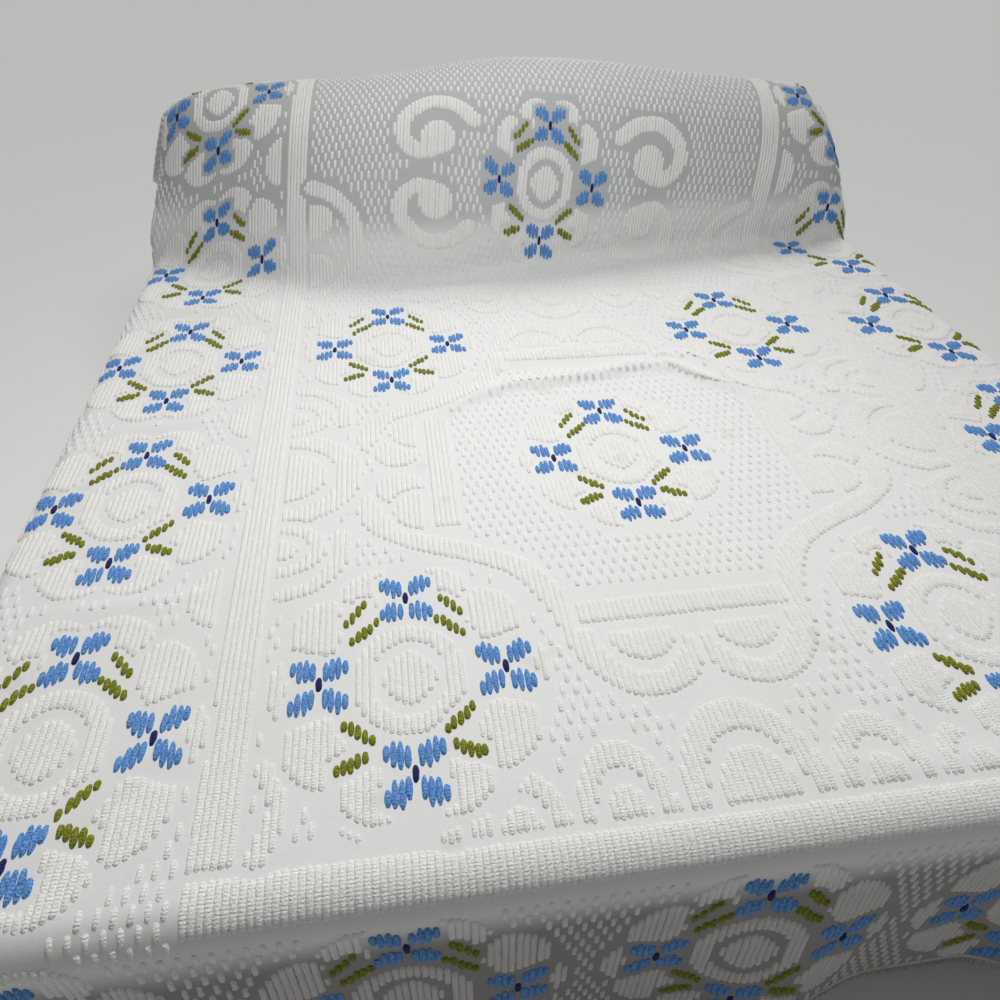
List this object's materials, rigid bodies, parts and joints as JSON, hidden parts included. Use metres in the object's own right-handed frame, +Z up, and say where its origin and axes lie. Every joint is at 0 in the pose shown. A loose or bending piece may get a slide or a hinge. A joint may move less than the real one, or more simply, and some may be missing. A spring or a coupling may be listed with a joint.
{
  "type": "chenille bedspread on a bed",
  "caption": "White tufted chenille bedspread with blue flowers, fringed on three sides, draped over a king-size bed with two propped pillows.",
  "frame": {"origin": "middle of the bed base's underside, on the surface that the bed stands on", "axes": "+X across the bed, +Y along the bed towards the head, +Z up"},
  "size_m": [2.204, 2.2995, 0.9756],
  "materials": {
    "chenille_white": "tufted cotton chenille pile on a plain woven ground",
    "fringe_white": "short cut cotton fringe",
    "mattress_ticking": "woven ticking",
    "base_linen": "plain upholstery weave",
    "pillow_cotton": "plain cotton"
  },
  "bodies": {
    "root": {"bedspread": "chenille_white", "fringe": "fringe_white", "mattress": "mattress_ticking", "bed_base": "base_linen", "pillow_left": "pillow_cotton", "pillow_right": "pillow_cotton"}
  },
  "joints": []
}
